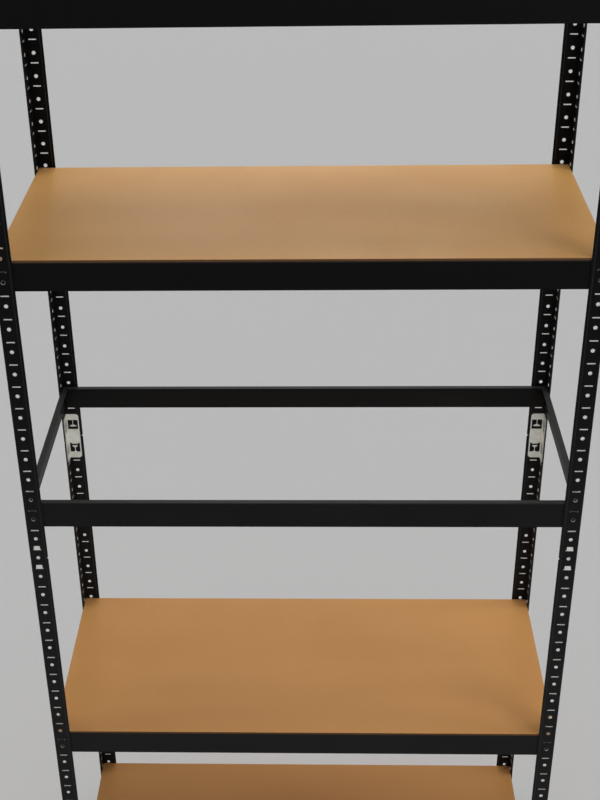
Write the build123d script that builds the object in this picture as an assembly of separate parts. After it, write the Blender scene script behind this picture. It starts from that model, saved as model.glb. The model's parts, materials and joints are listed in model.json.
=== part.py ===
from build123d import *

import os

# Boltless steel shelving. Four angle posts, each in two halves, carry five rings of hook-in beams.
# Four rings carry a loose board; the middle ring is left open. Millimetres, +Z up.
# The origin is on the floor, under the centre of the shelving. X runs left to right, Y front to rear.

# Overall sizes, over the outer faces of the posts
SHELVING_WIDTH = 900.0
SHELVING_DEPTH = 400.0

# Perforation of the posts: a round hole at every pitch, and a thin slit between two holes
PITCH = 38.1
PITCHES_PER_HALF_POST = 24
HOLE_LINE = 13.5            # from a post's outer corner to the line of holes and slits
HOLE_DIAMETER = 6.0
SLIT_WIDTH = 12.4
SLIT_HEIGHT = 1.6
SLIT_ABOVE_HOLE = 16.4      # slit centre above the hole below it, in a post that stands upright

# Levels, counted from the floor up: the hole that the ring of beams hangs just below
LEVEL_HOLES = {1: 2, 2: 14, 3: 27, 4: 38, 5: 48}
OPEN_LEVEL = 3
BEAM_TOP_BELOW_HOLE = 7.6

# Posts
POST_FLANGE = 30.0
POST_SHEET = 1.2
POST_INNER_RADIUS = 1.1
POST_END_CORNER_RADIUS = 3.0
POST_SEAM_GAP = 0.8         # between the two halves of a post, where they meet
EDGE_STEP_WIDTH = 4.5       # the stiffened strip along each free edge
EDGE_STEP = 0.6             # how far that strip is set outwards

# Beams: an inverted angle, its lip turned inwards under the board
BEAM_SHEET = 1.2
BEAM_HEIGHT = 45.0
BEAM_LIP = 11.0
BEAM_INNER_RADIUS = 0.8
BEAM_END_GAP = 3.0          # from a beam's end to the face of the post that it runs up to
MITRE_GAP = 0.7             # along a beam, between the mitred lips of two beams
SEAT_GAP = 0.1              # between a beam or a connector and the post face it lies against

# Hooks: tongues set out of the sheet, through a slit, with a lip along the post's outer face
HOOK_LIP = 5.5
HOOK_SIDE_GAP = 1.2
HOOK_FACE_GAP = 0.2
HOOK_WINDOW_GAP = 1.0

# Connectors, which join the two halves of a post from the inside
CONNECTOR_SHEET = 1.2
CONNECTOR_HEIGHT = 95.0
CONNECTOR_EDGE_MARGIN = 5.0 # from a post's free edge to the connector's
CONNECTOR_INNER_RADIUS = 1.1
CONNECTOR_CORNER_RADIUS = 6.0
CONNECTOR_WINDOW_WIDTH = 19.0
CONNECTOR_WINDOW_HEIGHT = 20.0
CONNECTOR_WINDOW_RIM = 12.5 # from the connector's end to its window
CONNECTOR_LIP = 6.8
SPUR_ROOT_WIDTH = 6.0
SPUR_ROOT_LENGTH = 2.6
SPUR_NECK_WIDTH = 1.0
SPUR_HEAD_DEPTH = 4.2

# Boards
BOARD_THICKNESS = 4.0
BOARD_GAP = 1.0
BOARD_ARRIS_RADIUS = 0.5
BOARD_CORNER_RADIUS = 1.5

# Feet: plastic caps that the posts stand in
FOOT_BASE = 3.0
FOOT_WALL = 2.0
FOOT_RISE = 12.0
FOOT_GAP = 0.15
FOOT_CORNER_RADIUS = 1.5
FOOT_EDGE_RADIUS = 0.5

# Sizes that follow
HALF_POST_LENGTH = PITCH * PITCHES_PER_HALF_POST
SEAM_HEIGHT = FOOT_BASE + HALF_POST_LENGTH
SPAN_WIDTH = SHELVING_WIDTH - 2 * POST_SHEET
SPAN_DEPTH = SHELVING_DEPTH - 2 * POST_SHEET

ROWS = ("front", "rear")
SIDES = ("left", "right")
CORNER_TURNS = {("front", "left"): 0, ("front", "right"): 90, ("rear", "right"): 180, ("rear", "left"): 270}


def slit_rise(row):
    """Height of a slit above the hole below it. The rear posts stand the other way up."""
    return SLIT_ABOVE_HOLE if row == "front" else PITCH - SLIT_ABOVE_HOLE


def beam_top(level):
    """Height of the top of a level's beams above the floor."""
    return FOOT_BASE + LEVEL_HOLES[level] * PITCH - BEAM_TOP_BELOW_HOLE


def at_corner(shape, row, side, height=0.0):
    """Carry a shape from the corner it is drawn at, with flanges along +X and +Y, to a post's corner."""
    x = SHELVING_WIDTH / 2 * (1 if side == "right" else -1)
    y = SHELVING_DEPTH / 2 * (1 if row == "rear" else -1)
    return Pos(x, y, height) * Rot(0, 0, CORNER_TURNS[row, side]) * shape


def on_both_flanges(shape):
    """A shape drawn on the flange along X, and its twin on the flange along Y."""
    return [shape, mirror(shape, about=Plane.XZ.rotated((0, 0, 45)))]


def angle_sheet(flange, sheet, outer_radius, inner_radius, length, inset=0.0):
    """A bent angle of even thickness, its outer faces set in from the axes."""
    points = [
        (inset, inset),
        (flange, inset),
        (flange, inset + sheet),
        (inset + sheet, inset + sheet),
        (inset + sheet, flange),
        (inset, flange),
    ]
    outline = make_face(Polyline(*points, close=True))
    outline = fillet(outline.vertices().sort_by_distance((inset, inset))[0], outer_radius)
    inner_corner = outline.vertices().sort_by_distance((inset + sheet, inset + sheet))[0]
    outline = fillet(inner_corner, inner_radius)
    return extrude(outline, length)


def rounded_ends(flange, length, radius):
    """What is cut away to round the free corners of an angle's flange along X, at both ends."""
    full = Box(radius, 4 * flange, length)
    full = Pos(flange - radius / 2, 0, length / 2) * full
    kept = Box(2 * radius, 4 * flange, length)
    kept = Pos(flange - radius, 0, length / 2) * kept
    kept = fillet(kept.edges().filter_by(Axis.Y).sort_by(Axis.X)[-2:], radius)
    return full - kept


def make_post_half(row, half):
    """Half a post: an angle with holes and slits in both flanges, cut short where the halves meet."""
    bottom = POST_SEAM_GAP / 2 if half == "upper" else 0.0
    length = HALF_POST_LENGTH - POST_SEAM_GAP / 2
    outer_radius = POST_INNER_RADIUS + POST_SHEET
    post = angle_sheet(POST_FLANGE, POST_SHEET, outer_radius, POST_INNER_RADIUS, length)
    strip = Box(EDGE_STEP_WIDTH, POST_SHEET, length)
    strip = Pos(POST_FLANGE - EDGE_STEP_WIDTH / 2, POST_SHEET / 2 - EDGE_STEP, length / 2) * strip
    groove = Box(EDGE_STEP_WIDTH, EDGE_STEP, length)
    groove = Pos(POST_FLANGE - EDGE_STEP_WIDTH / 2, POST_SHEET - EDGE_STEP / 2, length / 2) * groove
    post = post - on_both_flanges(groove)
    post = post + on_both_flanges(strip)
    post = post - on_both_flanges(rounded_ends(POST_FLANGE, length, POST_END_CORNER_RADIUS))
    post = Pos(0, 0, bottom) * post
    drill = Rot(90, 0, 0) * Cylinder(HOLE_DIAMETER / 2, 4 * POST_SHEET)
    punch = Box(SLIT_WIDTH, 4 * POST_SHEET, SLIT_HEIGHT)
    holes = [Pos(HOLE_LINE, 0, number * PITCH) * drill for number in range(PITCHES_PER_HALF_POST + 1)]
    slit_places = [number * PITCH + slit_rise(row) for number in range(PITCHES_PER_HALF_POST)]
    slits = [Pos(HOLE_LINE, 0, place) * punch for place in slit_places]
    return post - [cut for shape in holes + slits for cut in on_both_flanges(shape)]


def make_hook(width, sheet, lip, root_face, direction):
    """A tongue through a flange's slit, its root on root_face (inside), its lip up (+1) or down (-1).

    Drawn at X = 0, outwards along -Y from the post's outer face at Y = 0. Z = 0 is the side of the
    tongue that bears on the slit's edge.
    """
    outer = -HOOK_FACE_GAP - sheet
    points = [
        (root_face, 0),
        (-HOOK_FACE_GAP, 0),
        (-HOOK_FACE_GAP, direction * lip),
        (outer, direction * lip),
        (outer, -direction * sheet),
        (root_face, -direction * sheet),
    ]
    profile = make_face(Plane.YZ * Polyline(*points, close=True))
    hook = extrude(profile, width / 2, both=True)
    bend = hook.edges().filter_by(Axis.X).sort_by_distance((0, outer, -direction * sheet))[0]
    hook = fillet(bend, sheet * 0.8)
    tip = hook.edges().filter_by(Axis.Y).sort_by(Axis.Z, reverse=direction > 0)[:2]
    return fillet(tip, min(1.5, 0.25 * width))


def make_beam(span, hook_rows):
    """A beam along X between two posts' inner faces, its top at Z = 0, its face outwards to -Y.

    Y = 0 is the outer face of the posts that it hooks into. hook_rows names the row of the post at
    the -X end and of the one at the +X end, because their slits differ in height.
    """
    face = POST_SHEET + SEAT_GAP
    length = span - 2 * BEAM_END_GAP
    points = [
        (face, -BEAM_HEIGHT),
        (face, 0),
        (face + BEAM_LIP, 0),
        (face + BEAM_LIP, -BEAM_SHEET),
        (face + BEAM_SHEET, -BEAM_SHEET),
        (face + BEAM_SHEET, -BEAM_HEIGHT),
    ]
    section = make_face(Plane.YZ * Polyline(*points, close=True))
    outer_corner = section.vertices().sort_by_distance((0, face, 0))[0]
    section = fillet(outer_corner, BEAM_INNER_RADIUS + BEAM_SHEET)
    inner_corner = section.vertices().sort_by_distance((0, face + BEAM_SHEET, -BEAM_SHEET))[0]
    section = fillet(inner_corner, BEAM_INNER_RADIUS)
    beam = extrude(section, length / 2, both=True)
    hook_width = SLIT_WIDTH - 2 * HOOK_SIDE_GAP
    for end, row in zip((-1, 1), hook_rows):
        beam = beam - mitre_wedge(span, face, end)
        bearing = slit_rise(row) - PITCH - SLIT_HEIGHT / 2 + BEAM_TOP_BELOW_HOLE
        x = end * (span / 2 + POST_SHEET - HOLE_LINE)
        window_height = HOOK_LIP + HOOK_WINDOW_GAP
        window = Box(hook_width + HOOK_WINDOW_GAP, 4 * BEAM_SHEET, window_height)
        beam = beam - Pos(x, face, bearing - window_height / 2) * window
        hook = make_hook(hook_width, BEAM_SHEET, HOOK_LIP, face + BEAM_SHEET, -1)
        beam = beam + Pos(x, 0, bearing) * hook
    return beam


def mitre_wedge(span, face, end):
    """What is cut off a beam's lip at one end, so that it meets the next beam's lip at 45 degrees."""
    reach = 2 * BEAM_LIP
    corner = end * (span / 2 - SEAT_GAP - MITRE_GAP)
    points = [
        (corner, face),
        (corner + end * reach, face),
        (corner + end * reach, face + reach),
        (corner - end * reach, face + reach),
    ]
    wedge = extrude(make_face(Polyline(*points, close=True)), BEAM_HEIGHT, both=True)
    web = Box(2 * span, 2 * BEAM_SHEET, 2 * BEAM_HEIGHT)
    return wedge - Pos(0, face, 0) * web


def spur(peaked):
    """The spur on the upper window's top edge, seen from the front: a neck and a D-shaped head.

    A peaked spur also has a root that widens into the window's edge.
    """
    window_top = CONNECTOR_HEIGHT / 2 - CONNECTOR_WINDOW_RIM
    head_flat = PITCH - SLIT_ABOVE_HOLE - SLIT_HEIGHT / 2
    head_half_width = SLIT_WIDTH / 2 - HOOK_SIDE_GAP
    neck_length = window_top - head_flat
    neck = Pos(0, head_flat + neck_length / 2) * Rectangle(SPUR_NECK_WIDTH, neck_length)
    left = (-head_half_width, head_flat)
    right = (head_half_width, head_flat)
    crown = (0, head_flat + SPUR_HEAD_DEPTH)
    head = make_face(Line(left, right) + ThreePointArc(right, crown, left))
    if not peaked:
        return neck + head
    root_points = [
        (-SPUR_ROOT_WIDTH / 2, window_top),
        (SPUR_ROOT_WIDTH / 2, window_top),
        (SPUR_NECK_WIDTH / 2, window_top - SPUR_ROOT_LENGTH),
        (-SPUR_NECK_WIDTH / 2, window_top - SPUR_ROOT_LENGTH),
    ]
    return make_face(Polyline(*root_points, close=True)) + neck + head


def make_connector():
    """The plate that joins a front post's two halves, drawn about the seam at Z = 0.

    Each flange has two windows, and a spur on each window's edge away from the seam. The upper hook
    stands on its window's lower edge, and the lower hook on the head of its spur. Both lips point up.
    """
    inset = POST_SHEET + SEAT_GAP
    inner_face = inset + CONNECTOR_SHEET
    flange = POST_FLANGE - CONNECTOR_EDGE_MARGIN
    outer_radius = CONNECTOR_INNER_RADIUS + CONNECTOR_SHEET
    inner_radius = CONNECTOR_INNER_RADIUS
    plate = angle_sheet(flange, CONNECTOR_SHEET, outer_radius, inner_radius, CONNECTOR_HEIGHT, inset)
    corners = rounded_ends(flange, CONNECTOR_HEIGHT, CONNECTOR_CORNER_RADIUS)
    plate = Pos(0, 0, -CONNECTOR_HEIGHT / 2) * (plate - on_both_flanges(corners))

    window_height = CONNECTOR_WINDOW_HEIGHT
    window_centre = CONNECTOR_HEIGHT / 2 - CONNECTOR_WINDOW_RIM - window_height / 2
    window = Pos(HOLE_LINE, inner_face, 0) * Box(CONNECTOR_WINDOW_WIDTH, 4 * CONNECTOR_SHEET, window_height)
    windows = [Pos(0, 0, window_centre) * window, Pos(0, 0, -window_centre) * window]
    plate = plate - [hole for opening in windows for hole in on_both_flanges(opening)]

    hook_width = SLIT_WIDTH - 2 * HOOK_SIDE_GAP
    hook = Pos(HOLE_LINE, 0, 0) * make_hook(hook_width, CONNECTOR_SHEET, CONNECTOR_LIP, inner_face, 1)
    upper_slit_top = SLIT_ABOVE_HOLE + SLIT_HEIGHT / 2
    stem_height = upper_slit_top - window_centre + window_height / 2
    stem = Box(hook_width, CONNECTOR_SHEET, stem_height)
    stem = Pos(HOLE_LINE, inset + CONNECTOR_SHEET / 2, upper_slit_top - stem_height / 2) * stem
    upper_spur = Pos(HOLE_LINE, inner_face, 0) * extrude(Plane.XZ * spur(peaked=True), CONNECTOR_SHEET)
    lower_spur = Pos(HOLE_LINE, inner_face, 0) * extrude(Plane.XZ * spur(peaked=False), CONNECTOR_SHEET)
    lower_spur = mirror(lower_spur, about=Plane.XY)
    upper_hook = Pos(0, 0, upper_slit_top) * hook
    lower_hook = Pos(0, 0, upper_slit_top - PITCH) * hook
    tabs = [upper_hook, stem, upper_spur, lower_hook, lower_spur]
    return plate + [piece for tab in tabs for piece in on_both_flanges(tab)]


def make_foot():
    """A plastic cap around a post's lower end, drawn with its underside at Z = 0."""
    inset = -EDGE_STEP - FOOT_GAP
    sheet = POST_SHEET + EDGE_STEP + 2 * FOOT_GAP
    flange = POST_FLANGE + FOOT_GAP
    inner_radius = POST_INNER_RADIUS - FOOT_GAP
    height = FOOT_BASE + FOOT_RISE
    pocket = angle_sheet(flange, sheet, FOOT_CORNER_RADIUS, inner_radius, height, inset)
    outer_radius = FOOT_CORNER_RADIUS + FOOT_WALL
    foot_sheet = sheet + 2 * FOOT_WALL
    foot = angle_sheet(flange + FOOT_WALL, foot_sheet, outer_radius, FOOT_CORNER_RADIUS, height, inset - FOOT_WALL)
    free_corners = foot.edges().filter_by(Axis.Z).sort_by_distance((0, 0, height / 2))[-4:]
    foot = fillet(free_corners, FOOT_CORNER_RADIUS)
    foot = fillet(foot.faces().sort_by(Axis.Z)[-1].edges(), FOOT_EDGE_RADIUS)
    return foot - Pos(0, 0, FOOT_BASE) * pocket


def make_board():
    """A loose board, its underside at Z = 0."""
    margin = 2 * (POST_SHEET + BOARD_GAP)
    board = Box(SHELVING_WIDTH - margin, SHELVING_DEPTH - margin, BOARD_THICKNESS)
    board = fillet(board.edges().filter_by(Axis.Z), BOARD_CORNER_RADIUS)
    board = Pos(0, 0, BOARD_THICKNESS / 2) * board
    return fillet(board.faces().sort_by(Axis.Z)[-1].edges(), BOARD_ARRIS_RADIUS)


def save(shape, node):
    """Write one named piece."""
    shape.label = node
    export_step(shape, f"parts/{node}.step")
    print(node, len(shape.solids()))


os.makedirs("parts", exist_ok=True)

connector = make_connector()
connectors = {"front": connector, "rear": mirror(connector, about=Plane.XY)}
foot = make_foot()
for row in ROWS:
    lower_half = make_post_half(row, "lower")
    upper_half = make_post_half(row, "upper")
    for side in SIDES:
        place = f"{row}_{side}"
        save(at_corner(lower_half, row, side, FOOT_BASE), f"post_{place}_lower")
        save(at_corner(upper_half, row, side, SEAM_HEIGHT), f"post_{place}_upper")
        save(at_corner(connectors[row], row, side, SEAM_HEIGHT), f"connector_{place}")
        save(at_corner(foot, row, side), f"foot_{place}")

half_width = SHELVING_WIDTH / 2
half_depth = SHELVING_DEPTH / 2
beams = {
    "front": Pos(0, -half_depth, 0) * make_beam(SPAN_WIDTH, ("front", "front")),
    "right": Pos(half_width, 0, 0) * Rot(0, 0, 90) * make_beam(SPAN_DEPTH, ("front", "rear")),
    "rear": Pos(0, half_depth, 0) * Rot(0, 0, 180) * make_beam(SPAN_WIDTH, ("rear", "rear")),
    "left": Pos(-half_width, 0, 0) * Rot(0, 0, 270) * make_beam(SPAN_DEPTH, ("rear", "front")),
}
board = make_board()
for level in LEVEL_HOLES:
    for place, beam in beams.items():
        save(Pos(0, 0, beam_top(level)) * beam, f"beam_level_{level}_{place}")
    if level != OPEN_LEVEL:
        save(Pos(0, 0, beam_top(level)) * board, f"board_level_{level}")
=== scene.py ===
# %% [markdown]
# # Boltless steel shelving, finished in Blender
# The steel posts, beams, connectors and feet arrive as finished CAD pieces. They could be modelled
# again here, but their holes, slits and hooks already have the right shape, so this script leaves
# every CAD mesh alone. It adds what a drawing doesn't hold: the boards as sawn sheets, the four
# finishes, and a small studio.

# %% Load the frame
import json
import math

import bpy
import numpy as np
from mathutils import Matrix, Vector

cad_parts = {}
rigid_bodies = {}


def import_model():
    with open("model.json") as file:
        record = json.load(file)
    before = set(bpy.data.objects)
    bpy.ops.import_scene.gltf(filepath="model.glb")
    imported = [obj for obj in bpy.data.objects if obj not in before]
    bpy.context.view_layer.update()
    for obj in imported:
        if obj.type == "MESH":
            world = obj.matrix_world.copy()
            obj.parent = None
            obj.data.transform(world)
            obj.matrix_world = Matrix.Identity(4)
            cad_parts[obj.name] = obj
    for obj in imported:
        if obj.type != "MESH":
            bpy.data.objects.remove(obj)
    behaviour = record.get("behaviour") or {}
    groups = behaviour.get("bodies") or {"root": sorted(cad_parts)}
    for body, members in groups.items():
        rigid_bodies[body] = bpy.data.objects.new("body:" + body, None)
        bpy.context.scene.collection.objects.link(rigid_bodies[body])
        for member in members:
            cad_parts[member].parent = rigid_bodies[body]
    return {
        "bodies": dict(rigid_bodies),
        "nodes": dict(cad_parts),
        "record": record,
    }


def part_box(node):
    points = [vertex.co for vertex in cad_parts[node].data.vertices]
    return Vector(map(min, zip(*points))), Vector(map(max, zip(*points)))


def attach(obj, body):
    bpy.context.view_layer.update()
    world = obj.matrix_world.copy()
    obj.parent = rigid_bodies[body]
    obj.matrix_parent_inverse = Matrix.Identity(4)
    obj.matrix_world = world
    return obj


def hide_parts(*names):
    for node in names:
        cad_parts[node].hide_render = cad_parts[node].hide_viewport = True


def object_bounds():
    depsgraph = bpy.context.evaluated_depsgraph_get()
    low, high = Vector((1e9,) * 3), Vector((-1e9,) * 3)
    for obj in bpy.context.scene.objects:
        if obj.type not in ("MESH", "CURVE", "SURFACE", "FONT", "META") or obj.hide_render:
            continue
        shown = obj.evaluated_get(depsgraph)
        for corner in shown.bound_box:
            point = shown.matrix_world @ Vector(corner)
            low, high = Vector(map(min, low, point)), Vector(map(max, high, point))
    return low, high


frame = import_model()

cad_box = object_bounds()
cad_size = cad_box[1] - cad_box[0]
print("CAD box, metres:", [round(v, 4) for v in cad_size], "nodes:", len(frame["nodes"]))

# %% [markdown]
# ## A small language for shaders
# A finish is a graph of nodes. It could be wired up by hand, node by node, but a sum such as
# `1 - mask` then takes four lines and hides what it means. So one small class wraps a socket and
# lets Python's operators add the Math nodes. One method makes every other kind of node.

# %% Sockets that read like numbers
class Signal:
    """A node's output. Adding, subtracting or multiplying it adds a Math node."""

    def __init__(self, finish, socket):
        self.finish = finish
        self.socket = socket

    def maths(self, operation, *values):
        return self.finish.node("ShaderNodeMath", values, operation=operation)

    def __add__(self, other):
        return self.maths("ADD", self, other)

    __radd__ = __add__

    def __sub__(self, other):
        return self.maths("SUBTRACT", self, other)

    def __rsub__(self, other):
        return self.maths("SUBTRACT", other, self)

    def __mul__(self, other):
        return self.maths("MULTIPLY", self, other)

    __rmul__ = __mul__

    def distance_to_multiple(self, pitch):
        """How far the value is from the nearest whole number of pitches."""
        return self.maths("PINGPONG", self, pitch / 2)

    def absolute(self):
        return self.maths("ABSOLUTE", self)

    def larger(self, other):
        return self.maths("MAXIMUM", self, other)

    def smaller(self, other):
        return self.maths("MINIMUM", self, other)

    def hypotenuse(self, other):
        """The length of the arrow with these two sides, from Pythagoras."""
        return self.maths("SQRT", self * self + other * other)

    def ramp(self, low, high, start=0.0, end=1.0):
        """Runs smoothly from start to end as the value goes from low to high."""
        limits = {"Value": self, "From Min": low, "From Max": high, "To Min": start, "To Max": end}
        return self.finish.node("ShaderNodeMapRange", limits, interpolation_type="SMOOTHSTEP")


# %% A finish, built node by node
class Finish:
    """A material whose nodes are added one call at a time, ending in a Principled shader."""

    def __init__(self, name):
        self.material = bpy.data.materials.new(name)
        self.material.use_nodes = True
        self.tree = self.material.node_tree
        self.tree.nodes.clear()
        self.place = self.node("ShaderNodeTexCoord", output="Object")

    def node(self, kind, values=(), output=0, **settings):
        """Add a node: first its settings, then the value or link of each socket."""
        node = self.tree.nodes.new(kind)
        for setting, value in settings.items():
            setattr(node, setting, value)
        named = values.items() if isinstance(values, dict) else enumerate(values)
        for key, value in named:
            self.plug(self.find(node.inputs, key), value)
        return Signal(self, self.find(node.outputs, output)) if node.outputs else node

    def find(self, sockets, key):
        """A socket by its number or, among those that the settings leave in use, by its name."""
        if isinstance(key, int):
            return sockets[key]
        return next(socket for socket in sockets if socket.name == key and socket.enabled)

    def plug(self, socket, value):
        if isinstance(value, Signal):
            self.tree.links.new(value.socket, socket)
        else:
            socket.default_value = value

    def axes(self):
        """The three coordinates of the point being shaded, in metres."""
        split = self.node("ShaderNodeSeparateXYZ", [self.place]).socket.node
        return [Signal(self, socket) for socket in split.outputs]

    def height(self):
        """How high the point being shaded lies over the floor, in metres."""
        return self.axes()[2]

    def lean(self):
        """How far the surface faces up: 1 on a floor, 0 on a wall, -1 on a ceiling."""
        normal = self.node("ShaderNodeNewGeometry", output="Normal")
        return self.node("ShaderNodeSeparateXYZ", [normal], output="Z")

    def stretched(self, scale):
        """The place, stretched along each axis by its own factor."""
        values = {"Vector": self.place, "Scale": scale}
        return self.node("ShaderNodeMapping", values, vector_type="POINT")

    def grain(self, size, detail=2.0, place=None, seed=0.0):
        """Soft noise between 0 and 1 whose blotches are about size metres across."""
        values = {"Vector": place or self.place, "W": seed, "Scale": 1 / size, "Detail": detail}
        return self.node("ShaderNodeTexNoise", values, noise_dimensions="4D")

    def mix(self, amount, first, second, blend="MIX"):
        """Blend two colours."""
        values = {"Factor": amount, "A": first, "B": second}
        return self.node("ShaderNodeMix", values, "Result", data_type="RGBA", blend_type=blend)

    def relief(self, height, depth):
        """A normal that leans as if the surface rose by depth metres where height goes from 0 to 1."""
        return self.node("ShaderNodeBump", {"Height": height, "Distance": depth, "Strength": 1.0})

    def shade(self, **values):
        """End in a Principled shader. Names such as base_color stand for its sockets."""
        sockets = {}
        for name, value in values.items():
            sockets[name.replace("_", " ").title().replace("Ior", "IOR")] = value
        shader = self.node("ShaderNodeBsdfPrincipled", sockets)
        self.node("ShaderNodeOutputMaterial", {"Surface": shader})
        print("finish", self.material.name, "has", len(self.tree.nodes), "nodes")
        return self.material


def grey(level, warmth=0.0):
    """A near-neutral colour: warmth above 0 adds red and takes blue away."""
    return (level * (1 + warmth), level, level * (1 - warmth), 1.0)


# %% [markdown]
# ## Black powder coat on the posts
# Powder is sprayed on dry and melted in an oven, so it dries to a satin skin with a faint orange
# peel. It draws thin over the sharp rims of punched holes and slits, and rubs shiny where hooks
# have been pushed in. The punched walls themselves stay nearly bare, and their pale grey is also
# a painted glint. A painted highlight runs along the edge of each stiffened strip. A painted
# texture could show that, but the holes sit at an even pitch, so the distance to the nearest one
# is a short sum, and the rims fall exactly round the real holes.

# %% Where the holes are
HOLE_PITCH = 0.0381
HOLE_LINE = 0.0135           # from a post's outer corner to its line of holes
HOLE_RADIUS = 0.003
SLIT_HALF_WIDTH = 0.0062
SLIT_HALF_HEIGHT = 0.0008
SLIT_RISE = {"front": 0.0164, "rear": HOLE_PITCH - 0.0164}
EDGE_STEP = 0.0006           # the stiffened strips stand this far out of the posts' faces
EDGE_STRIP_START = 0.0255    # from a post's outer corner to its stiffened strip
PUNCHED_WALL = 0.0002        # this close to a hole or slit, the punched wall itself is shaded
RIM_REACH = 0.0014           # how far round a hole or slit the coat is worn
STRIP_REACH = 0.001          # how far beside a strip's edge the painted highlight reaches

post_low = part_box("post_front_left_lower")[0]
half_width = -post_low.x - EDGE_STEP
half_depth = -post_low.y - EDGE_STEP
post_foot = post_low.z
print("posts:", round(2 * half_width, 4), "by", round(2 * half_depth, 4), "m over their faces")
print("standing", round(post_foot, 4), "m above the floor")

# %% The posts' finish
COAT_BLACK = 0.002
COAT_DUST_AND_REFLECTION = 0.014
LIGHTEST_BELOW = 0.7               # below this height the coat is at its lightest, from dust and a painted reflection of the floor
DARKEST_ABOVE = 1.42             # above this height it is nearly clean and at its darkest
COAT_ROUGHNESS = 0.42
COAT_SHINE = 0.11
RIM_GREY = 0.055             # worn coat round the holes, and the painted highlight along the strips' edges
# bare cut steel on the punched walls, as a pale grey that is also a painted glint
BARE_STEEL_GLINT_GREY = 0.75
PEEL_DEPTH = 0.00003         # the orange peel's relief


def coat_skin(finish):
    """What posts and beams share: a black that turns lighter towards the floor, as dust and as a painted
    reflection of the floor, with specks and orange peel.
    """
    haze = finish.grain(0.11, detail=4.0).ramp(0.35, 0.75)
    # dust and painted reflection: the coat turns a lighter grey towards the floor
    dust_and_reflection = finish.height().ramp(LIGHTEST_BELOW, DARKEST_ABOVE, 1.0, 0.0) * (0.8 + 0.35 * haze)
    black = finish.mix(dust_and_reflection, grey(COAT_BLACK), grey(COAT_DUST_AND_REFLECTION, 0.02))
    speck = finish.grain(0.0016, detail=1.0, seed=3.0)
    peel = finish.grain(0.0022, detail=1.0, seed=8.0)
    return black, haze, speck, peel


def post_coat(row):
    """Powder coat that is burnished round each hole and slit of a front or a rear post, with a painted
    glint on the punched walls and a painted highlight along each strip's edge.
    """
    finish = Finish(f"powder_coat_posts_{row}")
    x, y, z = finish.axes()
    black, haze, speck, peel = coat_skin(finish)
    across = (half_width - x.absolute()).larger(half_depth - y.absolute())
    height = z - post_foot
    off_line = (across - HOLE_LINE).absolute()
    hole_gap = off_line.hypotenuse(height.distance_to_multiple(HOLE_PITCH)) - HOLE_RADIUS
    slit_height = (height - SLIT_RISE[row]).distance_to_multiple(HOLE_PITCH)
    slit_gap = (off_line - SLIT_HALF_WIDTH).larger(slit_height - SLIT_HALF_HEIGHT)
    gap = hole_gap.smaller(slit_gap)
    rim = gap.ramp(PUNCHED_WALL, RIM_REACH, 1.0, 0.0)
    # painted glint: the punched walls turn pale grey, as bare steel and as the light they catch
    punched = gap.ramp(PUNCHED_WALL / 4, PUNCHED_WALL, 1.0, 0.0)
    # painted highlight along each stiffened strip's edge, where its small step catches the light
    strip_highlight = (across - EDGE_STRIP_START).absolute().ramp(0.0, STRIP_REACH, 1.0, 0.0)
    # wear round the holes and slits, with the painted strip highlight
    wear_and_highlight = rim.larger(strip_highlight * 0.8) * (0.4 + 0.6 * speck)
    coat = finish.mix(wear_and_highlight, black, grey(RIM_GREY))
    return finish.shade(
        base_color=finish.mix(punched, coat, grey(BARE_STEEL_GLINT_GREY, 0.02)),
        roughness=COAT_ROUGHNESS + 0.1 * haze + 0.05 * speck - 0.1 * wear_and_highlight,
        specular_ior_level=COAT_SHINE,
        normal=finish.relief(peel, PEEL_DEPTH),
    )


posts = {row: post_coat(row) for row in SLIT_RISE}

# %% [markdown]
# ## The same coat on the beams
# Beams carry the same powder, with no holes. Their folded top edge and lip are where boards slide
# on and off, so the coat there is a little polished. Both are also painted a lighter grey, as a
# painted highlight where the light falls on the upward faces. Height above each beam's own top
# would need a material per level. The bend is also the only place where the face leans, so the
# surface's own normal finds it on every beam at once.

# %% The beams' finish
# painted highlight: the grey of the beams' bend and upward lip
LIP_HIGHLIGHT_GREY = 0.036
BEND_LEAN = 0.6              # how far the middle of the folded top edge faces up


def beam_coat():
    """Powder coat with long faint rub marks, a polished bend along the top, and a painted highlight on the
    bend and the upward lip.
    """
    finish = Finish("powder_coat_beams")
    black, haze, speck, peel = coat_skin(finish)
    rubs = finish.grain(0.004, detail=3.0, place=finish.stretched((0.05, 0.05, 1.0)), seed=5.0)
    rubs = rubs.ramp(0.55, 0.8)
    lean = finish.lean()
    # wear and painted highlight along the bend, where it faces partly up
    bend = (lean - BEND_LEAN).absolute().ramp(0.1, 0.4, 1.0, 0.0)
    wear_and_highlight = bend * (0.3 + 0.7 * speck)
    # painted highlight on the faces that look up
    lip_highlight = lean.ramp(0.9, 0.98)
    return finish.shade(
        base_color=finish.mix((wear_and_highlight * 0.6).larger(lip_highlight), black, grey(LIP_HIGHLIGHT_GREY)),
        roughness=COAT_ROUGHNESS + 0.1 * haze - 0.08 * rubs - 0.06 * wear_and_highlight,
        specular_ior_level=COAT_SHINE,
        normal=finish.relief(peel, PEEL_DEPTH),
    )


beams = beam_coat()

# %% [markdown]
# ## Zinc plate on the connectors
# The connectors are plated, not painted, so they are the one bright metal here. Bare metal takes its
# look from what it mirrors, but plating dulls under a pale film, so this one is shaded as only
# partly metal. An even surface would read as plastic, so the roughness is clouded, the way a plating
# bath leaves it, with fine rolling lines up and down the sheet.

# %% The connectors' finish
ZINC_BRIGHT = (0.90, 0.92, 0.87, 1.0)
ZINC_CLOUDED = (0.80, 0.82, 0.78, 1.0)
ZINC_BRUISED = (0.5, 0.49, 0.47, 1.0)
ZINC_METALLIC = 0.35
ZINC_RELIEF = 0.00002


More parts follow.
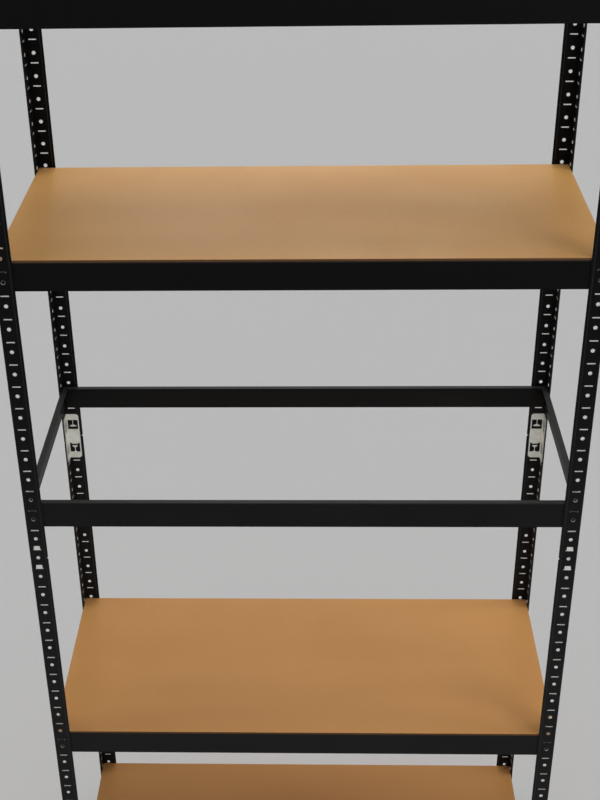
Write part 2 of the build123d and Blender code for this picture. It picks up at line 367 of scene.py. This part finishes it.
def zinc_plate():
    """Bright plate: clouds, rolling lines and small bruises."""
    finish = Finish("zinc_plate")
    cloud = finish.grain(0.012, detail=4.0).ramp(0.3, 0.7)
    lines = finish.grain(0.0007, detail=2.0, place=finish.stretched((1.0, 1.0, 0.03)), seed=2.0)
    bruise = finish.grain(0.003, detail=3.0, seed=6.0).ramp(0.66, 0.8)
    bright = finish.mix(cloud, ZINC_BRIGHT, ZINC_CLOUDED)
    return finish.shade(
        base_color=finish.mix(bruise * 0.5, bright, ZINC_BRUISED),
        metallic=ZINC_METALLIC,
        roughness=0.3 + 0.16 * cloud + 0.1 * lines + 0.1 * bruise,
        normal=finish.relief(lines + cloud, ZINC_RELIEF),
    )


zinc = zinc_plate()

# %% [markdown]
# ## Moulded plastic feet
# The feet are black like the posts, but moulded. The mould is spark-eroded, which leaves an even
# fine stipple and no gloss. The lowest few millimetres pick up pale scuffs from the floor.

# %% The feet's finish
SCUFF_HEIGHT = 0.004
FOOT_PIT = 0.013             # the stipple's dark pits
FOOT_PEAK = 0.02             # and its peaks
FOOT_SCUFF = 0.09
STIPPLE_DEPTH = 0.00005


def foot_plastic():
    """Matt black plastic with a fine stipple and floor scuffs."""
    finish = Finish("foot_plastic")
    stipple = finish.grain(0.0005, detail=1.0)
    scuff = finish.grain(0.003, detail=3.0, seed=4.0).ramp(0.5, 0.7)
    scuff = scuff * finish.height().ramp(0.0, SCUFF_HEIGHT, 1.0, 0.0)
    black = finish.mix(stipple, grey(FOOT_PIT), grey(FOOT_PEAK))
    return finish.shade(
        base_color=finish.mix(scuff * 0.6, black, grey(FOOT_SCUFF, 0.03)),
        roughness=0.62 + 0.1 * stipple + 0.1 * scuff,
        normal=finish.relief(stipple, STIPPLE_DEPTH),
    )


feet = foot_plastic()

# %% [markdown]
# ## Hardboard
# The boards are pressed from wood fibre: honey brown, smooth and a little shiny on top, with no
# grain as sawn timber has, only short fibres that lie every way. The press leaves the colour softly
# clouded. The sawn edges are darker and furry, and part of their dark brown is painted shade.
# Each board mesh carries a number called sawn, which is 1 on those edges, so one finish serves
# both. Two layers of stretched noise, lying across each other, make the fibres. A picture of wood
# would repeat and would have a grain. Height tells the four boards apart: straw above and more
# orange below, and the lowest one is painted darker as painted shade, since less light reaches it
# under the board above.

# %% The boards' finish
BOARD_STRAW = (0.645, 0.352, 0.108, 1.0)     # the upper two boards
BOARD_ORANGE = (0.65, 0.32, 0.104, 1.0)      # the lower two
LOWEST_BOARD_SHADE = 0.85                          # painted shade: the lowest board has this share of the orange
ABOVE_LOWEST = (0.2, 0.4)                    # heights with no board, where the colour may change
ABOVE_ORANGE = (0.8, 1.2)
BOARD_CLOUD = (0.40, 0.20, 0.06, 1.0)
BOARD_FIBRE = (0.48, 0.24, 0.085, 1.0)
BOARD_FLECK = (0.3, 0.14, 0.05, 1.0)
# the sawn edges' own dark brown, made darker still as painted shade
BOARD_SAWN_AND_SHADE = (0.10, 0.05, 0.024, 1.0)
BOARD_FUR = (0.17, 0.085, 0.04, 1.0)
BOARD_SHINE = 0.18
FIBRE_RELIEF = 0.00004


def hardboard():
    """Pressed fibre: soft clouds and short crossed fibres; darker where it is sawn, partly as painted
    shade; the lowest board darker as painted shade.
    """
    finish = Finish("hardboard")
    z = finish.height()
    cloud = finish.grain(0.22, detail=3.0).ramp(0.35, 0.75)
    along = finish.grain(0.0012, detail=3.0, place=finish.stretched((0.16, 1.0, 1.0)))
    across = finish.grain(0.0012, detail=3.0, place=finish.stretched((1.0, 0.16, 1.0)), seed=2.0)
    fibres = along.larger(across).ramp(0.5, 0.75)
    fleck = finish.grain(0.0024, detail=1.0, seed=9.0).ramp(0.7, 0.78)
    sawn = finish.node("ShaderNodeAttribute", output="Fac", attribute_name="sawn")
    fur = finish.grain(0.0007, detail=3.0, place=finish.stretched((0.4, 0.4, 1.0)), seed=7.0)
    # painted shade: the lowest board is painted darker
    lowest_shaded = tuple(part * LOWEST_BOARD_SHADE for part in BOARD_ORANGE[:3]) + (1.0,)
    face = finish.mix(z.ramp(*ABOVE_LOWEST), lowest_shaded, BOARD_ORANGE)
    face = finish.mix(z.ramp(*ABOVE_ORANGE), face, BOARD_STRAW)
    face = finish.mix(cloud * 0.14, face, BOARD_CLOUD)
    face = finish.mix(fibres * 0.2, face, BOARD_FIBRE)
    face = finish.mix(fleck * 0.35, face, BOARD_FLECK)
    # sawn edges: their own dark brown and painted shade
    edge = finish.mix(fur, BOARD_SAWN_AND_SHADE, BOARD_FUR)
    return finish.shade(
        base_color=finish.mix(sawn, face, edge),
        roughness=0.44 + 0.08 * fibres + 0.06 * cloud + 0.4 * sawn,
        specular_ior_level=BOARD_SHINE,
        normal=finish.relief(0.35 * fibres + sawn * fur * 4.0, FIBRE_RELIEF),
    )


board_finish = hardboard()

# %% Give the CAD pieces their finishes
SLOT_FINISHES = {"zinc_plate": zinc, "foot_plastic": feet, "black_powder_coat": beams}
record_slots = {part["node"]: part["material_slot"] for part in frame["record"]["subparts"]}
for name, piece in frame["nodes"].items():
    finish = SLOT_FINISHES.get(record_slots[name])
    if name.startswith("post_"):
        finish = posts[name.split("_")[1]]
    if finish:
        piece.data.materials.clear()
        piece.data.materials.append(finish)
print("finished CAD pieces:", sum(slot in SLOT_FINISHES for slot in record_slots.values()))

# %% [markdown]
# ## The boards as sheets
# A board could be a scaled cube, but a cube has razor edges that never catch the light, and no
# number for its sawn edges. Here a board is a closed section, drawn from front to rear, carried
# from the left end to the right. Near the ends the section shrinks along two small quarter circles,
# which rounds the corners and the top edge. The middle hangs a fraction of a millimetre lower, as a
# thin sheet does between beams.

# %% The board's section and stations
BOARD_ARRIS = 0.0005
BOARD_CORNER = 0.0015
BOARD_SAG = 0.0008
SUPPORT = 0.0006             # a loop this close to each rounded edge keeps the flats flat
ROUNDING_STEPS = 6           # stations over each rounding
END_ZONE = 0.012             # the even stations start this far in from each end
STEPS_ALONG = 40             # even stations from left to right
STEPS_OVER = 18              # even points over the top, from rear to front
POINTS_BELOW = 20            # points along the underside, with both corners
POINTS_SAWN = 5              # points up each sawn edge, with the one that the arris owns


def quarter_loss(distance, radius):
    """What a quarter circle takes off a width at this distance from its end: r - sqrt(r^2 - (r - d)^2)."""
    inside = np.clip(radius - distance, 0, radius)
    return radius - np.sqrt(radius**2 - inside**2)


def spread(half, steps, rounding):
    """Stations from -half to half, close together over the rounding at both ends."""
    near = rounding * (1 - np.cos(np.linspace(0, math.pi / 2, ROUNDING_STEPS)))
    ends = np.append(near, rounding + SUPPORT)
    middle = np.linspace(-half + END_ZONE, half - END_ZONE, steps)
    return np.concatenate([ends - half, middle, (half - ends)[::-1]])


# %% The board's surface
def board_mesh(name, low, high):
    """A closed sheet between two corners: y(v) and z(v) of a section, carried along x(u).

    The section runs from the rear edge over the top to the front, down the sawn edge and back
    below. At a station x, both its depth and its top lose what a quarter circle takes off there.
    The height loses sag * cos(pi x / width) * cos(pi y / depth).
    """
    centre = (low + high) / 2
    half = (high - low) / 2
    x = spread(half.x, STEPS_ALONG, BOARD_CORNER)[:, None]
    end_gap = half.x - np.abs(x)
    over = spread(half.y, STEPS_OVER, BOARD_ARRIS)[::-1]
    fall = quarter_loss(half.y - np.abs(over), BOARD_ARRIS)
    sides = np.linspace(-half.z, half.z - BOARD_ARRIS, POINTS_SAWN)[:-1]
    below = np.linspace(-half.y, half.y, POINTS_BELOW)[1:-1]
    side = np.ones(len(sides))
    y = np.concatenate([over, -half.y * side, below, half.y * side])
    z = np.concatenate([half.z - fall, sides[::-1], np.full(len(below), -half.z), sides])
    sawn = np.concatenate([fall / BOARD_ARRIS, side, np.zeros(len(below)), side])
    depth_scale = 1 - quarter_loss(end_gap, BOARD_CORNER) / half.y
    y_grid = y[None, :] * depth_scale
    on_top = (z > half.z - 2 * BOARD_ARRIS)[None, :]
    z_grid = z[None, :] - quarter_loss(end_gap, BOARD_ARRIS) * on_top
    hang = np.cos(math.pi * x / (2 * half.x)) * np.cos(math.pi * y_grid / (2 * half.y))
    z_grid = z_grid - BOARD_SAG * hang
    x_grid = np.broadcast_to(x, y_grid.shape)
    points = np.stack([x_grid + centre.x, y_grid + centre.y, z_grid + centre.z], axis=-1)
    ends_sawn = np.clip(1 - end_gap / BOARD_ARRIS, 0, 1)
    sawn_grid = np.maximum(sawn[None, :], ends_sawn)
    return closed_tube(name, points, sawn_grid)


# %% From rings of points to a mesh
def ring_mesh(name, points, close_start, close_end):
    """A mesh from a grid of points: each ring joined to the next, and a flat cap where asked.

    Point number j of ring i has the index i * around + j, so the next ring's is around higher.
    """
    rings, around = points.shape[:2]
    ring = np.arange(around)
    start = np.arange(rings - 1)[:, None] * around
    here = start + ring
    following = start + np.roll(ring, -1)
    quads = np.stack([here, here + around, following + around, following], axis=-1).reshape(-1, 4)
    caps = [ring.tolist()] if close_start else []
    if close_end:
        caps.append((ring + (rings - 1) * around)[::-1].tolist())
    mesh = bpy.data.meshes.new(name)
    mesh.from_pydata(points.reshape(-1, 3).tolist(), [], quads.tolist() + caps)
    return mesh


def closed_tube(name, points, sawn):
    """A section carried along, capped at both ends, with the sawn number on its points."""
    mesh = ring_mesh(name, points, close_start=True, close_end=True)
    numbers = mesh.attributes.new("sawn", "FLOAT", "POINT")
    numbers.data.foreach_set("value", sawn.ravel().astype(np.float32))
    mesh.shade_smooth()
    mesh.validate()
    return mesh


# %% A check on which way the faces point
def signed_volume(mesh):
    """A sixth of the sum of a . (b x c) over the triangles: positive when the faces point out."""
    mesh.calc_loop_triangles()
    corners = np.array([triangle.vertices for triangle in mesh.loop_triangles])
    places = np.array([vertex.co for vertex in mesh.vertices])
    a, b, c = (places[corners[:, side]] for side in range(3))
    return float(np.einsum("ij,ij->i", a, np.cross(b, c)).sum() / 6)


# %% Make the four boards
for body in frame["bodies"]:
    if not body.startswith("board_"):
        continue
    level = body.split("_")[1]
    node = f"board_level_{level}"
    name = f"hardboard_level_{level}"
    sheet = bpy.data.objects.new(name, board_mesh(name, *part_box(node)))
    sheet.data.materials.append(board_finish)
    bpy.context.scene.collection.objects.link(sheet)
    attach(sheet, body)
    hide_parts(node)
    litres = signed_volume(sheet.data) * 1000
    print(sheet.name, "faces", len(sheet.data.polygons), "litres", round(litres, 3))

# %% [markdown]
# ## The studio
# A product shot wants an even, pale floor with no horizon. A plane would end somewhere, so the
# floor is a wide round dish: flat for many metres, then curving up into a low wall. It is a profile
# turned about the upright axis, and it isn't part of the shelving. Light from above leaves the wall
# dark, so the paper glows a little where it is steep, and floor and wall keep one tone. Above the
# rim stands a tall plain wall for low viewpoints. It shines on nothing, so it doesn't change the light.

# %% The floor
FLOOR_RADIUS = 14.0
FLOOR_RINGS = (0.6, 1.5, 4.0, 8.0)
WALL_CURVE = 5.0
WALL_HEIGHT = 60.0
WALL_GLOW = 0.52
FLOOR_TONE = 0.8
FLOOR_GLOW = 0.456           # how bright its own lights make the floor, from 0 to 1 for white
SKY = 0.1
PAPER_MOTTLE = 0.005         # paper is this share lighter and darker from place to place
TURN_STEPS = 96
CURVE_STEPS = 24


# %% Turned surfaces for the stage
def turned(radius, height):
    """A profile turned about the upright axis: points (r cos t, r sin t, z)."""
    angle = np.linspace(0, 2 * math.pi, TURN_STEPS, endpoint=False)
    x = radius[:, None] * np.cos(angle)
    y = radius[:, None] * np.sin(angle)
    return np.stack([x, y, np.broadcast_to(height[:, None], x.shape)], axis=-1)


def studio_dish():
    """The radius grows across the floor, then radius and height follow a quarter circle."""
    turn = np.linspace(0, math.pi / 2, CURVE_STEPS)
    radius = np.concatenate([FLOOR_RINGS, FLOOR_RADIUS + WALL_CURVE * np.sin(turn)])
    height = np.concatenate([np.zeros(len(FLOOR_RINGS)), WALL_CURVE * (1 - np.cos(turn))])
    return turned(radius, height)


def studio_wall():
    """Straight up from the dish's rim."""
    height = np.array([WALL_CURVE, WALL_HEIGHT])
    return turned(np.full(2, FLOOR_RADIUS + WALL_CURVE), height)


def stage_surface(name, points, finish, closed):
    """Join the rings of a turned surface, close its middle if asked, and put it on the stage."""
    mesh = ring_mesh(name, points, close_start=closed, close_end=False)
    mesh.shade_smooth()
    mesh.materials.append(finish)
    surface = bpy.data.objects.new(name, mesh)
    bpy.context.scene.collection.objects.link(surface)
    print(name, "faces", len(mesh.polygons))
    return surface


# %% The floor's paper
# The sun over the floor lights a slope by how far it faces up, and the slope glows by the rest
sun_share = FLOOR_GLOW - FLOOR_TONE * SKY
floor_finish = Finish("studio_paper")
paper = floor_finish.grain(0.9, detail=3.0)
paper_range = (1 - PAPER_MOTTLE, 1 + PAPER_MOTTLE)
floor_dark, floor_light = (grey(FLOOR_TONE * share) for share in paper_range)
floor_paper = floor_finish.shade(
    base_color=floor_finish.mix(paper, floor_dark, floor_light),
    roughness=1.0,
    specular_ior_level=0.0,
    emission_color=floor_finish.mix(floor_finish.lean(), grey(sun_share), grey(0.0)),
    emission_strength=1.0,
)
floor = stage_surface("studio_floor", studio_dish(), floor_paper, closed=True)

# %% The wall above the floor's rim
wall_finish = Finish("studio_wall_paper")
wall_dark, wall_light = (grey(WALL_GLOW * share) for share in paper_range)
wall_paper = wall_finish.shade(
    base_color=grey(0.0),
    roughness=1.0,
    specular_ior_level=0.0,
    emission_color=wall_finish.mix(wall_finish.grain(2.0), wall_dark, wall_light),
    emission_strength=1.0,
)
wall = stage_surface("studio_wall", studio_wall(), wall_paper, closed=False)
wall.visible_diffuse = False
wall.visible_glossy = False
wall.visible_shadow = False

# %% [markdown]
# ## Light
# The paper floor should have one tone out to its edge, and the shelving should have light and dark
# sides. One set of lamps can't do both, so lights are linked here: a lamp is told which objects it
# shines on. A sun straight overhead lights the floor alone, and there only the feet cast a shadow.
# Large soft lamps light the shelving alone. A small lamp would draw every slit as a hard shadow.
# One more lamp lifts only the plated connectors, which would look dull in this soft light.

# %% Lights that are told what to shine on
SUN_ANGLE = 60.0             # a sun this many degrees wide draws soft shadows


def collect(name, pieces):
    """A collection that a light can be linked to."""
    collection = bpy.data.collections.new(name)
    for piece in pieces:
        collection.objects.link(piece)
    return collection


def add_light(name, kind, strength, shines_on):
    """A light that only one collection receives."""
    light = bpy.data.lights.new(name, kind)
    light.energy = strength
    lit = bpy.data.objects.new(name, light)
    lit.light_linking.receiver_collection = shines_on
    lit.visible_camera = False
    bpy.context.scene.collection.objects.link(lit)
    return lit


# %% The sky
world = bpy.data.worlds.new("studio_sky")
world.use_nodes = True
background = world.node_tree.nodes["Background"]
background.inputs["Color"].default_value = grey(1.0)
background.inputs["Strength"].default_value = SKY
bpy.context.scene.world = world
print("sky strength", SKY)

# %% What each light shines on
stage = (floor, wall)
pieces = [piece for piece in bpy.context.scene.objects if piece.type == "MESH" and piece not in stage]
floor_only = collect("floor_only", [floor])
shelving_only = collect("shelving_only", pieces)
foot_pieces = [piece for piece in pieces if piece.name.startswith("foot_")]
connector_pieces = [piece for piece in pieces if piece.name.startswith("connector_")]
feet_only = collect("feet_only", foot_pieces)
connectors_only = collect("connectors_only", connector_pieces)

# %% The sun over the floor
# Under a sun of strength E, a floor of tone t is as bright as t * E / pi
sun = add_light("sun_over_floor", "SUN", sun_share * math.pi / FLOOR_TONE, floor_only)
sun.data.angle = math.radians(SUN_ANGLE)
sun.light_linking.blocker_collection = feet_only

# %% The lamps round the shelving
LAMPS = {
    # name: (watts, place in metres, side in metres)
    "lamp_behind": (15.0, (0.0, 1.8, 2.6), 1.4),
    "lamp_above": (31.0, (0.0, 0.3, 3.4), 1.6),
    "lamp_high_front": (6.5, (0.0, -1.4, 3.2), 1.4),
    "lamp_front_right": (15.0, (1.8, -1.6, 2.4), 1.2),
    "lamp_left": (10.0, (-2.2, 0.0, 1.9), 1.2),
    "lamp_right": (16.0, (2.2, 0.0, 1.9), 1.2),
    "lamp_on_zinc": (9.0, (0.0, -2.2, 2.6), 1.0),
}
AIM = Vector((0.0, 0.0, 1.1))

for name, (watts, place, side) in LAMPS.items():
    lamp = add_light(name, "AREA", watts, connectors_only if name == "lamp_on_zinc" else shelving_only)
    lamp.data.size = side
    turn = (AIM - Vector(place)).to_track_quat("-Z", "Y")
    lamp.matrix_world = Matrix.Translation(place) @ turn.to_matrix().to_4x4()

# %% [markdown]
# ## Camera
# The camera stands in front, above eye level, and looks down at the middle levels. A long lens
# keeps the posts nearly upright. The frame is then shifted a little, as a view camera does, so the
# posts don't lean more than they should.

# %% Set the camera
CAMERA_PLACE = Vector((0.0239, -2.0607, 2.2470))
CAMERA_HEADING = 2.149
CAMERA_DOWN = 31.43
CAMERA_ROLL = -1.127
LENS = 62.33
SENSOR = 36.0
SHIFT = (0.0350, 0.0738)

camera_data = bpy.data.cameras.new("camera")
camera_data.sensor_width = SENSOR
camera_data.lens = LENS
camera_data.shift_x, camera_data.shift_y = SHIFT
camera = bpy.data.objects.new("camera", camera_data)
heading = Matrix.Rotation(math.radians(CAMERA_HEADING), 4, "Z")
down = Matrix.Rotation(math.radians(90 - CAMERA_DOWN), 4, "X")
roll = Matrix.Rotation(math.radians(CAMERA_ROLL), 4, "Z")
camera.matrix_world = Matrix.Translation(CAMERA_PLACE) @ heading @ down @ roll
bpy.context.scene.collection.objects.link(camera)
bpy.context.scene.camera = camera
bpy.context.scene.view_settings.view_transform = "Standard"
print("camera at", [round(v, 3) for v in CAMERA_PLACE])
